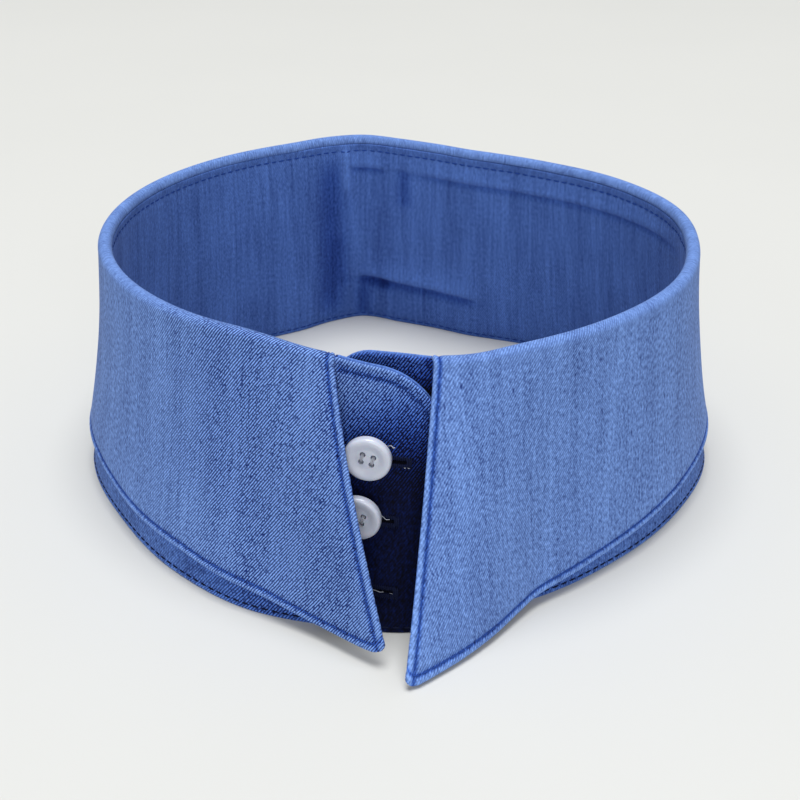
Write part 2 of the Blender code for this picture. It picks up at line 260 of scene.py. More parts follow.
@dataclass(frozen=True)
class CollarForm:
    """The collar's form: where its ring stands, and how the leaf rolls over it and falls."""

    centre: tuple[float, float] = (0.21, 9.69)
    stand_cloth: float = 1.4
    leaf_cloth: float = 1.2
    seam_gap: float = 0.3
    height: float = 50.2
    end_lean: float = 0.5
    lean_reach: float = 28.0
    waist: float = 0.9
    tuck_depth: float = 3.3
    tuck_full_angle: float = -6.0
    tuck_free_angle: float = 25.0
    roll_rise: float = 0.15
    tip_fall: float = 55.0
    seam_dip: float = 1.1
    seam_dip_reach: float = 20.0
    free_end_rise: float = 1.3
    free_end_start: float = -0.3
    free_end_reach: float = 0.2
    floor_clearance: float = 0.2

    def radius(self, angle: float, height: float) -> float:
        """The outer face's radius where the ring's upper layer lies."""
        share, turned = height / self.height, angle % 360
        straight = (1 - share) * read_table(RING, "foot", turned) + share * read_table(RING, "top", turned)
        return straight - 4 * self.waist * share * (1 - share)

    @property
    def mm_per_degree(self) -> float:
        """The length of a degree along the top edge at the centre front."""
        return math.radians(STATIONS[0].top)

    def tuck(self, angle: float) -> float:
        """How far the stand's under end has moved in, to pass inside the upper end."""
        return self.tuck_depth * ease((self.tuck_free_angle - angle) / (self.tuck_free_angle - self.tuck_full_angle))

    def normal(self, angle: float, height: float) -> Vector:
        """The direction that the ring's outer face looks in."""
        step = 0.5
        along = around(angle + step, self.radius(angle + step, height), height)
        along -= around(angle - step, self.radius(angle - step, height), height)
        up = around(angle, self.radius(angle, height + step), height + step)
        up -= around(angle, self.radius(angle, height - step), height - step)
        return along.cross(up).normalized()

    @staticmethod
    def nearest_end(angle: float) -> End:
        """The free end on an angle's side of the neck."""
        return UNDER_END if angle < 180 else UPPER_END

    def seam_height(self, angle: float) -> float:
        """The height of the leaf's seam, which dips a little towards the leaf's two front corners."""
        from_corner = min(angle - UNDER_END.leaf_corner, UPPER_END.leaf_corner - angle)
        return self.height - self.seam_dip * ease(1 - from_corner / self.seam_dip_reach)

    def stand_top(self, angle: float) -> float:
        """The height of the stand's top edge, with the rounded corners of its free ends."""
        end = self.nearest_end(angle)
        beyond = max(UNDER_END.leaf_corner - angle, angle - UPPER_END.leaf_corner)
        rise = self.free_end_rise * ease((beyond * self.mm_per_degree - self.free_end_start) / self.free_end_reach)
        rise -= end.slope * max(beyond, 0.0) * self.mm_per_degree
        drop = rounding_drop(end.rounding, abs(end.angle - angle) * self.mm_per_degree)
        return self.seam_height(angle) + rise - drop

    def stand_point(self, angle: float, share: float) -> Vector:
        """A point of the stand's outer face, a share of the way from its foot to its top edge."""
        height = share * self.stand_top(angle)
        near_end = ease(1 - (UPPER_END.angle - angle) / self.lean_reach)
        leaned = angle - self.end_lean * near_end * (1 - height / self.height)
        return around(leaned, self.radius(leaned, height) - self.tuck(angle), height)

    def roll_point(self, angle: float, share: float) -> Vector:
        """A point of the leaf's right side where it rolls over the stand's top edge."""
        inner, outer = -self.stand_cloth, self.seam_gap + self.leaf_cloth
        centre, bend = (inner + outer) / 2, (outer - inner) / 2
        turn = math.pi * share
        out = centre - bend * math.cos(turn)
        rise = self.seam_gap + self.roll_rise + bend * math.sin(turn)
        return around(angle, self.radius(angle, self.height) - self.tuck(angle) + out, self.seam_height(angle) + rise)

    def fall_point(self, angle: float, share: float) -> Vector:
        """A point of the leaf's right side, a share of the way down from the roll to the hem."""
        line = LeafLine(angle, *(read_table(LEAF_LINES, name, angle) for name in LeafLine._fields[1:]))
        top_height = self.seam_height(angle) + self.seam_gap + self.roll_rise
        top_reach = self.seam_gap + self.leaf_cloth - self.tuck(angle)
        height = top_height + (line.height - top_height) * share
        reach = top_reach + (line.reach - top_reach) * share + line.belly * math.sin(math.pi * share)
        turned = angle + (line.hem_angle - angle) * share
        return around(turned, self.radius(turned, min(height, self.height)) + reach, height)

    def to_part(self) -> Matrix:
        """Takes a mesh in millimetres round the neck's axis to metres in the part's frame."""
        return Matrix.Scale(MM, 4) @ Matrix.Translation((*self.centre, 0.0))


FORM = CollarForm()


def add_node(
    tree: bpy.types.NodeTree, kind: str, links: dict[Any, Any] | Sequence[Any] = (), **settings: Any
) -> bpy.types.Node:
    """Adds a shader node with its settings and links.

    Args:
        tree: the material's node tree.
        kind: the node's type, without the word that all shader nodes start with.
        links: for each input, the socket that feeds it or the value it is set to; a list fills the inputs in order.
        settings: the node's own options.

    Returns:
        The new node.
    """
    node = tree.nodes.new("ShaderNode" + kind)
    for name, value in settings.items():
        setattr(node, name, value)
    for key, source in links.items() if isinstance(links, dict) else enumerate(links):
        if isinstance(source, bpy.types.NodeSocket):
            tree.links.new(source, node.inputs[key])
        else:
            node.inputs[key].default_value = source
    return node


def new_material(name: str, **values: float) -> tuple[bpy.types.Material, bpy.types.NodeTree, bpy.types.Node]:
    """Starts a material.

    Args:
        name: the material's name.
        values: the shader's plain values, with an underscore for each space in their names.

    Returns:
        The material, its node tree and its shader.
    """
    material = bpy.data.materials.new(name)
    material.use_nodes = True
    shader = material.node_tree.nodes["Principled BSDF"]
    for key, value in values.items():
        shader.inputs[key.replace("_", " ")].default_value = value
    return material, material.node_tree, shader


@dataclass(frozen=True)
class ChambrayTwill:
    """Light cotton chambray, woven in a fine twill from an indigo warp and a pale weft, and washed once."""

    # It gives the eye a matt blue: pale slanting wales over dark gaps, slubs that run down the cloth, paler worn folds,
    # and a deeper indigo on the faces turned in. Two marks also carry painted light: painted shade that darkens the
    # cloth towards black where shade falls, and painted highlight on the raised side of the inside creases. The real
    # wales are about 0.35 mm apart, too fine to show, so they are drawn a little coarser.
    name: str = "cotton_chambray_woven_twill"
    ground: str = "#0a2468"
    thread: str = "#80a6ec"
    fleck: str = "#12266a"
    shadow: str = "#000000"
    wale_pitch: float = 0.465
    wale_slant: float = 54.0
    wale_wander: float = 0.5
    paling: float = 0.35
    # How strongly the indigo-and-painted-shade mark deepens and darkens the colour
    shade_deepening: float = 1.6
    shade_darkening: float = 0.87

    # The scale, detail and strength of the slubs, of the broad bands and of the cloudy patches
    clouds: tuple[tuple[tuple[float, float, float], float, float], ...] = (
        ((1.3, 0.06, 1.0), 2.0, 0.42),
        ((0.2, 0.012, 1.0), 2.0, 0.4),
        ((0.07, 0.07, 1.0), 3.0, 0.2),
    )

    def make(self) -> bpy.types.Material:
        """Makes the material, on a UV map that measures the cloth in millimetres."""
        material, tree, shader = new_material(
            self.name, Roughness=0.85, Sheen_Weight=0.03, Sheen_Roughness=0.5, Specular_IOR_Level=0.12
        )
        uv = add_node(tree, "UVMap", uv_map="cloth_mm").outputs[0]
        marks = ("wear_and_painted_highlight", "indigo_and_painted_shade", "grain", "crisp_weave")
        wear, indigo_and_painted_shade, grain, crisp = (
            add_node(tree, "Attribute", attribute_name=mark).outputs["Fac"] for mark in marks
        )
        tone = self.add_tone(tree, uv, grain, crisp)
        tone = add_node(tree, "Math", (wear, self.paling, tone), operation="MULTIPLY_ADD").outputs[0]
        place = add_node(tree, "Mapping", {"Vector": uv, "Scale": (0.3, 0.1, 1.0)}).outputs[0]
        speck = add_node(tree, "TexVoronoi", {"Vector": place, "Scale": 1.0}).outputs["Distance"]
        speck = add_node(tree, "MapRange", (speck, 0.035, 0.085, 0.8, 0.0)).outputs[0]
        for _ in range(2):
            speck = add_node(tree, "Math", (speck, grain), operation="MULTIPLY").outputs[0]
        # Painted shade and deeper indigo: the mark bends the colour darker and mixes it towards black
        depth = add_node(tree, "Math", (indigo_and_painted_shade, indigo_and_painted_shade), operation="MULTIPLY").outputs[0]
        depth = add_node(tree, "Math", (depth, self.shade_darkening), operation="MULTIPLY").outputs[0]
        strength = add_node(tree, "Math", (indigo_and_painted_shade, self.shade_deepening, 1.0), operation="MULTIPLY_ADD").outputs[0]
        colour: Any = linear(self.ground)
        for share, paint in ((tone, self.thread), (speck, self.fleck)):
            links = {"Factor": share, "A": colour, "B": linear(paint)}
            colour = add_node(tree, "Mix", links, data_type="RGBA").outputs["Result"]
        colour = add_node(tree, "Gamma", (colour, strength)).outputs[0]
        links = {"Factor": depth, "A": colour, "B": linear(self.shadow)}
        colour = add_node(tree, "Mix", links, data_type="RGBA").outputs["Result"]
        bump = add_node(tree, "Bump", {"Height": tone, "Strength": 0.5, "Distance": 0.0001})
        tree.links.new(colour, shader.inputs["Base Color"])
        tree.links.new(bump.outputs[0], shader.inputs["Normal"])
        return material

    def add_tone(
        self,
        tree: bpy.types.NodeTree,
        uv: bpy.types.NodeSocket,
        grain: bpy.types.NodeSocket,
        crisp: bpy.types.NodeSocket,
    ) -> bpy.types.NodeSocket:
        """Adds the weave's tone, from 0 in the dark gaps between wales to 1 on a pale thread.

        Args:
            tree: the material's node tree.
            uv: the cloth's place in millimetres.
            grain: how uneven the threads are where no wales stand out.
            crisp: how clearly the wales stand out.

        Returns:
            The socket that gives the tone.
        """
        wander = add_node(tree, "TexNoise", {"Vector": uv, "Scale": 0.12, "Detail": 1.0}).outputs["Color"]
        wander = add_node(tree, "VectorMath", {0: wander, "Scale": self.wale_wander}, operation="SCALE").outputs[0]
        bent = add_node(tree, "VectorMath", (uv, wander), operation="ADD").outputs[0]
        turn = (0.0, 0.0, math.radians(self.wale_slant - 90.0))
        turned = add_node(tree, "Mapping", {"Vector": bent, "Rotation": turn}).outputs[0]
        ridge = add_node(tree, "SeparateXYZ", (turned,)).outputs[0]
        for operation, *values in (("DIVIDE", self.wale_pitch), ("MULTIPLY", math.tau), ("COSINE",)):
            ridge = add_node(tree, "Math", (ridge, *values), operation=operation).outputs[0]
        ridge = add_node(tree, "Math", (ridge, 0.8, 0.5), operation="MULTIPLY_ADD", use_clamp=True).outputs[0]
        place = add_node(tree, "Mapping", {"Vector": turned, "Scale": (1.0, 0.8, 1.0)}).outputs[0]
        dash = add_node(tree, "TexNoise", {"Vector": place, "Scale": 3.1, "Detail": 0.0}).outputs[0]
        dash = add_node(tree, "Math", (dash, 2.8, -0.48), operation="MULTIPLY_ADD").outputs[0]
        wales = add_node(tree, "Math", (ridge, dash), operation="MULTIPLY").outputs[0]
        place = add_node(tree, "Mapping", {"Vector": uv, "Scale": (1.2, 0.6, 1.0)}).outputs[0]
        dots = add_node(tree, "TexNoise", {"Vector": place, "Scale": 1.8, "Detail": 1.0}).outputs[0]
        for operation, *values in (("SUBTRACT", 0.5), ("MULTIPLY", grain), ("MULTIPLY_ADD", 1.4, 0.56)):
            dots = add_node(tree, "Math", (dots, *values), operation=operation).outputs[0]
        links = {"Factor": crisp, "A": dots, "B": wales}
        tone = add_node(tree, "Mix", links, data_type="FLOAT").outputs["Result"]
        for scale, detail, strength in self.clouds:
            place = add_node(tree, "Mapping", {"Vector": uv, "Scale": scale}).outputs[0]
            cloud = add_node(tree, "TexNoise", {"Vector": place, "Scale": 1.0, "Detail": detail}).outputs[0]
            cloud = add_node(tree, "Math", (cloud, strength, -strength / 2), operation="MULTIPLY_ADD").outputs[0]
            tone = add_node(tree, "Math", (tone, cloud), operation="ADD").outputs[0]
        return tone


@dataclass(frozen=True)
class SewingThread:
    """Spun polyester sewing thread, with the twist of its plies."""

    # It gives the eye a dull line, flecked pale and dark where the plies turn.
    name: str
    colour: str
    shade: str
    ply_pitch: float = 0.35

    def make(self) -> bpy.types.Material:
        """Makes the material, on object coordinates."""
        material, tree, shader = new_material(self.name, Roughness=0.7, Specular_IOR_Level=0.15)
        place = add_node(tree, "TexCoord").outputs["Object"]
        ply = add_node(tree, "TexNoise", {"Vector": place, "Scale": 1 / (self.ply_pitch * MM), "Detail": 1.0})
        links = {"Factor": ply.outputs[0], "A": linear(self.shade), "B": linear(self.colour)}
        colour = add_node(tree, "Mix", links, data_type="RGBA").outputs["Result"]
        bump = add_node(tree, "Bump", {"Height": ply.outputs[0], "Strength": 0.5, "Distance": 0.00008})
        tree.links.new(colour, shader.inputs["Base Color"])
        tree.links.new(bump.outputs[0], shader.inputs["Normal"])
        return material


@dataclass(frozen=True)
class PearlPolyester:
    """Pearly polyester, cast in sheet and turned into buttons."""

    # It gives the eye a soft gloss over faint cloudy bands.
    name: str = "pearl_polyester_turned"
    light: str = "#ccd1de"
    dark: str = "#b4bacd"

    def make(self) -> bpy.types.Material:
        """Makes the material, with the sheet's soft cloudy bands."""
        material, tree, shader = new_material(
            self.name, Roughness=0.28, Coat_Weight=0.3, Subsurface_Weight=0.1, Subsurface_Scale=0.001
        )
        place = add_node(tree, "TexCoord").outputs["Object"]
        cloud = add_node(tree, "TexNoise", {"Vector": place, "Scale": 260.0, "Detail": 2.0, "Distortion": 1.5})
        links = {"Factor": cloud.outputs[0], "A": linear(self.dark), "B": linear(self.light)}
        colour = add_node(tree, "Mix", links, data_type="RGBA").outputs["Result"]
        fine = add_node(tree, "TexNoise", {"Vector": place, "Scale": 2500.0, "Detail": 1.0})
        bump = add_node(tree, "Bump", {"Height": fine.outputs[0], "Strength": 0.05, "Distance": 0.0001})
        tree.links.new(colour, shader.inputs["Base Color"])
        tree.links.new(bump.outputs[0], shader.inputs["Normal"])
        return material


@dataclass(frozen=True)
class PalePaper:
    """A sweep of matt white studio paper."""

    # It gives the eye an even pale floor, faintly clouded.
    name: str = "paper_studio_white"
    light: str = "#d0d1cf"
    dark: str = "#cbccca"

    def make(self) -> bpy.types.Material:
        """Makes the material, with the paper's faint cloudiness."""
        material, tree, shader = new_material(self.name, Roughness=0.95)
        place = add_node(tree, "TexCoord").outputs["Object"]
        cloud = add_node(tree, "TexNoise", {"Vector": place, "Scale": 6.0, "Detail": 3.0})
        links = {"Factor": cloud.outputs[0], "A": linear(self.dark), "B": linear(self.light)}
        colour = add_node(tree, "Mix", links, data_type="RGBA").outputs["Result"]
        tree.links.new(colour, shader.inputs["Base Color"])
        return material


def add_object(
    name: str, bm: bmesh.types.BMesh, place: Matrix, material: bpy.types.Material | None = None
) -> bpy.types.Object:
    """Writes a bmesh as an object in the part's frame.

    Args:
        name: the object's name.
        bm: the mesh, which is freed.
        place: takes the mesh to metres in the part's frame.
        material: a piece's finish, which also makes it smooth. A cutter has none.

    Returns:
        The new object, at the origin.
    """
    bm.transform(place)
    mesh = bpy.data.meshes.new(name)
    bm.to_mesh(mesh)
    bm.free()
    if material:
        mesh.shade_smooth()
        mesh.materials.append(material)
    item = bpy.data.objects.new(name, mesh)
    bpy.context.scene.collection.objects.link(item)
    return item


def filled(length: float, fixed: Sequence[float], step: float) -> list[float]:
    """Distances along a cloth: the set ones, and even ones wherever two of them are far apart.

    Args:
        length: the cloth's length.
        fixed: the set distances. A negative one is measured back from the far edge.
        step: the widest space that is left between two distances.

    Returns:
        All of the distances, rising from 0 to the length.
    """
    known = sorted({0.0, length, *(d if d >= 0 else length + d for d in fixed)})
    distances = [0.0]
    for before, after in zip(known, known[1:]):
        count = max(math.ceil((after - before) / step - 0.01), 1)
        distances += [before + (after - before) * i / count for i in range(1, count + 1)]
    return distances


def both_edges(insets: Sequence[float]) -> list[float]:
    """The same distances in from both edges of a cloth."""
    return [*insets, *(-d for d in insets)]


def read_curve(points: Sequence[tuple[float, float]], at: float) -> float:
    """Reads straight lines through rising points, level outside them."""
    index = bisect_right(points, at, key=lambda point: point[0])
    if index == 0 or index == len(points):
        return points[min(index, len(points) - 1)][1]
    (x0, y0), (x1, y1) = points[index - 1], points[index]
    return y0 + (y1 - y0) * (at - x0) / (x1 - x0)


class Relief(Enum):
    """The shapes of a crease, as the face that shows it sees them."""

    GROOVE = "groove"
    RIDGE = "ridge"
    LEDGE = "ledge"


@dataclass(frozen=True)
class Crease:
    """A crease pressed into the cloth, along a path of angles and heights."""

    shape: Relief
    path: tuple[tuple[float, float], ...]
    depth: float
    width: float

    def rise(self, angle: float, height: float) -> float:
        """How far the crease lifts the face that shows it.

        Args:
            angle: degrees round the neck.
            height: millimetres above the foot.

        Returns:
            The lift in millimetres, negative where the crease sinks.
        """
        reach = 5 * self.width
        scale = FORM.mm_per_degree
        if not all(
            min(p[i] for p in self.path) - reach < value < max(p[i] for p in self.path) + reach
            for i, value in enumerate((angle, height))
        ):
            return 0.0
        spot = Vector((angle * scale, height))
        corners = [Vector((a * scale, h)) for a, h in self.path]
        total = sum((after - before).length for before, after in zip(corners, corners[1:]))
        nearest, passed = (math.inf, 0.0, 0.0), 0.0
        for before, after in zip(corners, corners[1:]):
            run = after - before
            share = min(max((spot - before).dot(run) / run.length_squared, 0.0), 1.0)
            away = spot - (before + share * run)
            side = math.copysign(1.0, run.x * away.y - run.y * away.x)
            nearest = min(nearest, (away.length, side, passed + share * run.length))
            passed += run.length
        distance, side, along = nearest
        fade = ease(along / total * 5 + 0.15) * ease((1 - along / total) * 5 + 0.15)
        across = side * distance / self.width
        if self.shape is Relief.LEDGE:
            lift = (1 / (1 + math.exp(-4 * across)) if across < 1 else 1.0) * math.exp(-max(across, 0.0) / 2.5)
            lift -= 0.5 * math.exp(-((across + 0.8) ** 2))
        else:
            lift = math.exp(-(across**2)) * (1 if self.shape is Relief.RIDGE else -1)
        return self.depth * fade * lift


@dataclass(frozen=True)
class Shell:
    """A doubled cloth laid on a surface, closed round its folded edges."""

    name: str
    columns: Sequence[float]
    rows: Sequence[float]
    thickness: float
    place: Callable[[float, float], Vector]
    fullness: Callable[[float, float], float]
    relief: Callable[[float, float, Face], float]
    slide: Callable[[float, float], tuple[float, float]]
    chart: Callable[[float, float], tuple[float, float]]
    marks: dict[str, Callable[[float, float, Face], float]]

    def lifted(self, spot: tuple[float, float], point: Vector, normal: Vector, face: Face) -> Vector:
        """A face's place, from a point of the plain form's outer face and its direction."""
        half = self.thickness / 2 * self.fullness(*spot)
        return point + normal * (self.relief(*spot, face) + face.value * half - self.thickness / 2)

    def surface(self, along: float, down: float, face: Face) -> tuple[Vector, Vector]:
        """A point of one face and the direction that the face looks in."""
        step = 0.3
        right = self.place(along + step, down) - self.place(along - step, down)
        low = self.place(along, down + step) - self.place(along, down - step)
        normal = low.cross(right).normalized()
        return self.lifted((along, down), self.place(along, down), normal, face), normal * face.value

    def build(self) -> bmesh.types.BMesh:
        """Lays a grid on the cloth's outer face, doubles it and joins the two faces at their edges.

        Returns:
            The closed mesh, in millimetres, with a UV map in millimetres and its marks as attributes.
        """
        bm = bmesh.new()
        across, down = len(self.columns) - 1, len(self.rows) - 1
        bmesh.ops.create_grid(bm, x_segments=across, y_segments=down, size=0.5)
        uv_layer = bm.loops.layers.uv.new("cloth_mm")
        layers = {name: bm.verts.layers.float.new(name) for name in self.marks}
        spots: dict[bmesh.types.BMVert, tuple[float, float]] = {}
        for vertex in bm.verts:
            column, row = round((vertex.co.x + 0.5) * across), round((0.5 - vertex.co.y) * down)
            spots[vertex] = (self.columns[column], self.rows[row])
        for face in bm.faces:
            for loop in face.loops:
                loop[uv_layer].uv = self.chart(*spots[loop.vert])
        for vertex, spot in spots.items():
            vertex.co = self.place(*spot)
        bm.normal_update()
        doubled = bmesh.ops.duplicate(bm, geom=bm.verts[:] + bm.edges[:] + bm.faces[:])
        inner_faces = [item for item in doubled["geom"] if isinstance(item, bmesh.types.BMFace)]
        for vertex, spot in spots.items():
            point, normal = self.place(*self.slide(*spot)), vertex.normal.copy()
            for twin, face in ((vertex, Face.OUTER), (doubled["vert_map"][vertex], Face.INNER)):
                twin.co = self.lifted(spot, point, normal, face)
                for name, mark in self.marks.items():
                    twin[layers[name]] = mark(*spot, face)
        for face in inner_faces:
            for loop in face.loops:
                loop[uv_layer].uv.x = -loop[uv_layer].uv.x
        bmesh.ops.reverse_faces(bm, faces=inner_faces)
        edge = [vertex for vertex in bm.verts if vertex.is_boundary]
        bmesh.ops.remove_doubles(bm, verts=edge, dist=0.001)
        return bm


def fold_fullness(distance: float, size: float) -> float:
    """How full a folded cloth is at a distance in from its edge, from 0 at the edge to 1."""
    return math.sqrt(max(1 - (1 - min(distance / size, 1.0)) ** 2, 0.0))


def hump(distance: float, centre: float, width: float) -> float:
    """A soft rise or groove's share at a distance, from 1 at its centre."""
    return math.exp(-(((distance - centre) / width) ** 2))


@dataclass(frozen=True)
class StandCloth:
    """The stand: a doubled strip round the neck, whose free ends overlap at the centre front."""

    column_step: float = 1.1
    row_step: float = 0.8
    fold_size: float = 0.6
    seam_fold: float = 0.12
    foot_line: float = 1.1
    crest_line: float = 1.8
    end_line: float = 2.0
    groove_depth: float = 0.2
    flat: tuple[float, float] = (0.44, 0.053)
    ledge_rows: tuple[float, ...] = (6.0, 6.4, 6.8)
    foot_groove: float = 0.45
    foot_puff: float = 0.4
    stitch_groove: float = 0.5
    end_puff: float = 0.7
    puff_height: float = 0.08
    drape: Wave = Wave(0.25, 0.05, 0.04, 3.0)
    inner_drape: Wave = Wave(0.22, 0.12, 0.05, 5.0)
    coming_free: Ramp = Ramp(0.05, 0.3)
    end_wales: Ramp = Ramp(14.0, 26.0, 1.0, 0.15)
    strip_wales: Ramp = Ramp(318.0, 338.0, 0.25, 0.75)
    # Painted shade on the stand's outer face: under the leaf's hem near its front corners, and low on the upper free
    # end between the leaf's points.
    strip_shade: Ramp = Ramp(0.0, 45.0, 0.3, 0.12)
    end_shade: Ramp = Ramp(22.0, 45.0, 1.0, 0.0)

    # The free ends' edges show the folds of both layers, with a groove between them: for each distance in from the
    # edge, where the cloth really lies. The third distance is where the fold turns over.
    double_fold: tuple[tuple[float, float], ...] = (
        (0.0, 0.6),
        (0.08, 0.2),
        (0.28, 0.0),
        (0.6, 0.15),
        (1.1, 0.7),
        (1.6, 1.4),
        (2.1, 2.1),
    )
    creases: tuple[Crease, ...] = (
        Crease(Relief.LEDGE, ((92.0, 44.6), (118.0, 44.0), (152.0, 43.8), (180.0, 44.0)), 0.75, 0.8),
        Crease(Relief.LEDGE, ((183.0, 44.0), (191.6, 44.2)), 0.8, 0.8),
        Crease(Relief.LEDGE, ((158.0, 11.8), (168.0, 12.0), (176.0, 12.3), (190.5, 13.4)), 1.2, 1.4),
        Crease(Relief.GROOVE, ((178.5, 45.0), (178.6, 34.0)), 0.4, 1.6),
        Crease(Relief.RIDGE, ((192.8, 49.8), (192.5, 37.0)), 1.2, 0.9),
        Crease(Relief.GROOVE, ((188.5, 10.0), (188.5, 0.5)), 0.5, 1.9),
        Crease(Relief.GROOVE, ((196.3, 48.0), (196.9, 1.0)), 0.55, 3.3),
        Crease(Relief.GROOVE, ((195.0, 26.0), (194.0, 10.0)), 0.25, 2.0),
        Crease(Relief.GROOVE, ((190.0, 11.2), (181.5, 10.6)), 0.6, 1.5),
    )

    @property
    def length(self) -> float:
        """The strip's length along its top edge."""
        return (UPPER_END.angle - UNDER_END.angle) * FORM.mm_per_degree

    @property
    def corners(self) -> tuple[float, float]:
        """The distances along the strip of the leaf's two front corners."""
        return tuple((end.leaf_corner - UNDER_END.angle) * FORM.mm_per_degree for end in (UNDER_END, UPPER_END))

    def angle(self, along: float) -> float:
        """The angle round the neck at a distance along the strip."""
        return UNDER_END.angle + along / FORM.mm_per_degree

    def beyond(self, along: float) -> float:
        """How far a place is past the nearer front corner of the leaf, on a free end."""
        return max(self.corners[0] - along, along - self.corners[1], 0.0)

    def place(self, along: float, down: float) -> Vector:
        """A point of the outer face, at a distance along the strip and down from its top edge."""
        return FORM.stand_point(self.angle(along), 1 - down / FORM.height)

    def freed(self, along: float) -> float:
        """How far the top edge has come free of the leaf's seam, from 0 under the leaf to 1 on a free end."""
        return self.coming_free.at(self.beyond(along))

    def slide(self, along: float, down: float) -> tuple[float, float]:
        """Where a free end's cloth really lies, near the edges that show the folds of both layers."""
        reach, _ = self.double_fold[-1]
        slid = down + self.freed(along) * (read_curve(self.double_fold, down) - down) if down < reach else down
        for back, side in ((along, 1), (self.length - along, -1)):
            if back < reach:
                along += side * (read_curve(self.double_fold, back) - back)
        return along, slid

    def chart(self, along: float, down: float) -> tuple[float, float]:
        """The place on the flat cloth, from its height, with what is folded over counted on."""
        lies_along, lies_down = self.slide(along, down)
        turned_over, _ = self.double_fold[2]
        rim = FORM.height - FORM.stand_top(self.angle(along))
        level = rim - lies_down
        if down > turned_over or not self.beyond(along):
            level = rim + lies_down * (1 - rim / FORM.height)
        if along > self.length - turned_over:
            lies_along = 2 * self.length - lies_along
        return lies_along, level

    def fullness(self, along: float, down: float) -> float:
        """How full the doubled cloth is near its folded edges."""
        top = fold_fullness(down, self.seam_fold + (self.fold_size - self.seam_fold) * self.freed(along))
        return min(top, fold_fullness(min(along, self.length - along, FORM.height - down), self.fold_size))

    def end_distance(self, along: float, down: float) -> float:
        """The distance in from a free end's edge, round its rounded corner."""
        end = UNDER_END if along < self.length / 2 else UPPER_END
        back = min(along, self.length - along)
        top = FORM.stand_top(self.angle(along))
        height = top * (1 - down / FORM.height)
        full = top + rounding_drop(end.rounding, back)
        out, up = end.rounding - back, height - (full - end.rounding)
        if out > 0 and up > 0:
            return end.rounding - math.hypot(out, up)
        return min(back, full - height)

    def relief(self, along: float, down: float, face: Face) -> float:
        """How far the cloth stands out of its plain form, in the outer face's direction."""
        angle, height = self.angle(along), FORM.height - down
        dent = hump(height, self.foot_line, self.foot_groove)
        puff = hump(height, self.foot_line / 2, self.foot_puff)
        beyond = self.beyond(along)
        if beyond:
            inside = self.end_distance(along, down)
            dent = max(dent, hump(inside, self.end_line, self.stitch_groove) * ease(beyond))
            puff = max(puff, hump(inside, self.end_line / 2, self.end_puff) * ease(beyond))
        elif face is Face.INNER:
            dent = max(dent, hump(down, self.crest_line, self.stitch_groove))
        lift = self.puff_height * puff - self.groove_depth * dent
        if face is Face.INNER:
            lift += self.pressed(angle, height) + self.inner_drape.at(along, down) * ease(height / 8)
        return self.drape.at(along, down) + face.value * lift * self.fullness(along, down)

    @lru_cache(maxsize=None)
    def pressed(self, angle: float, height: float) -> float:
        """How far all of the creases together lift the inner face."""
        return sum(crease.rise(angle, height) for crease in self.creases)

    def wear(self, along: float, down: float, face: Face) -> float:
        """How pale the cloth is: faded most at its folds, with painted highlight on the raised side of the creases
        inside.
        """
        foot = 0.7 * math.exp(-(((FORM.height - down) / 0.45) ** 2))
        edge = min(along, self.length - along, down if self.beyond(along) else math.inf)
        fold = max(foot, 0.8 * hump(edge, 0.45, 0.3) * ease(edge / 0.3))
        # Painted highlight: the raised side of each inside crease is made paler.
        if face is Face.INNER:
            fold += 0.5 * max(self.pressed(self.angle(along), FORM.height - down), 0.0)
        return fold

    def indigo_and_painted_shade(self, along: float, down: float, face: Face) -> float:
        """How dark the cloth is painted: a deeper indigo inside, and painted shade in the inside creases, along the
        stitch lines, under the leaf's hem and most where the leaf's points close over the stand.
        """
        height, beyond = FORM.height - down, self.beyond(along)
        # Inner face: a deeper indigo, and painted shade in the sunk side of each crease.
        if face is Face.INNER:
            return 0.15 + 0.42 * max(-self.pressed(self.angle(along), height), 0.0)
        # Painted shade in the groove of the foot's stitch line.
        line = 0.3 * hump(height, self.foot_line, 0.35)
        # Under the leaf: painted shade on the strip below the leaf's hem, deepest near its front corners.
        if not beyond:
            from_corner = min(along - self.corners[0], self.corners[1] - along)
            return max(line, self.strip_shade.at(from_corner))
        # Under end: painted shade, deepening down from its top edge and towards the leaf's corner, between the leaf's
        # points.
        if along < self.length / 2:
            inward = ease((FORM.stand_top(self.angle(along)) - 1.0 - height) / 6.0)
            return 0.35 + 0.65 * max(inward, 0.6 * ease((along - self.corners[0] + 2.5) / 2.5))
        # Upper free end: painted shade along its folded edges and stitch groove, and deepening downwards between the
        # leaf's points.
        seam = ease(1 - min(down, self.length - along) / 0.3)
        line = 0.5 * hump(self.end_distance(along, down), self.end_line, 0.35) * ease(beyond)
        return max(seam, line, self.end_shade.at(height - 0.6 * beyond))

    def shell(self) -> Shell:
        """The stand's cloth, as a grid of distances along it and down from its top edge."""
        folds = [distance for distance, _ in self.double_fold]
        corner = (-0.6, -0.3, -0.23, -0.16, -0.09, 0.05, 0.3, 0.5, 0.9)
        near = [self.corners[0] - d for d in corner] + [self.corners[1] + d for d in corner]
        return Shell(
            "stand_cloth",
            filled(self.length, [*both_edges([*folds, 2.6]), *near], self.column_step),
            filled(FORM.height, [*both_edges(folds), *self.ledge_rows], self.row_step),
            FORM.stand_cloth,
            self.place,
            self.fullness,
            self.relief,
            self.slide,
            self.chart,
            {"wear_and_painted_highlight": self.wear, "indigo_and_painted_shade": self.indigo_and_painted_shade, "crisp_weave": self.crisp, "grain": self.grain},
        )

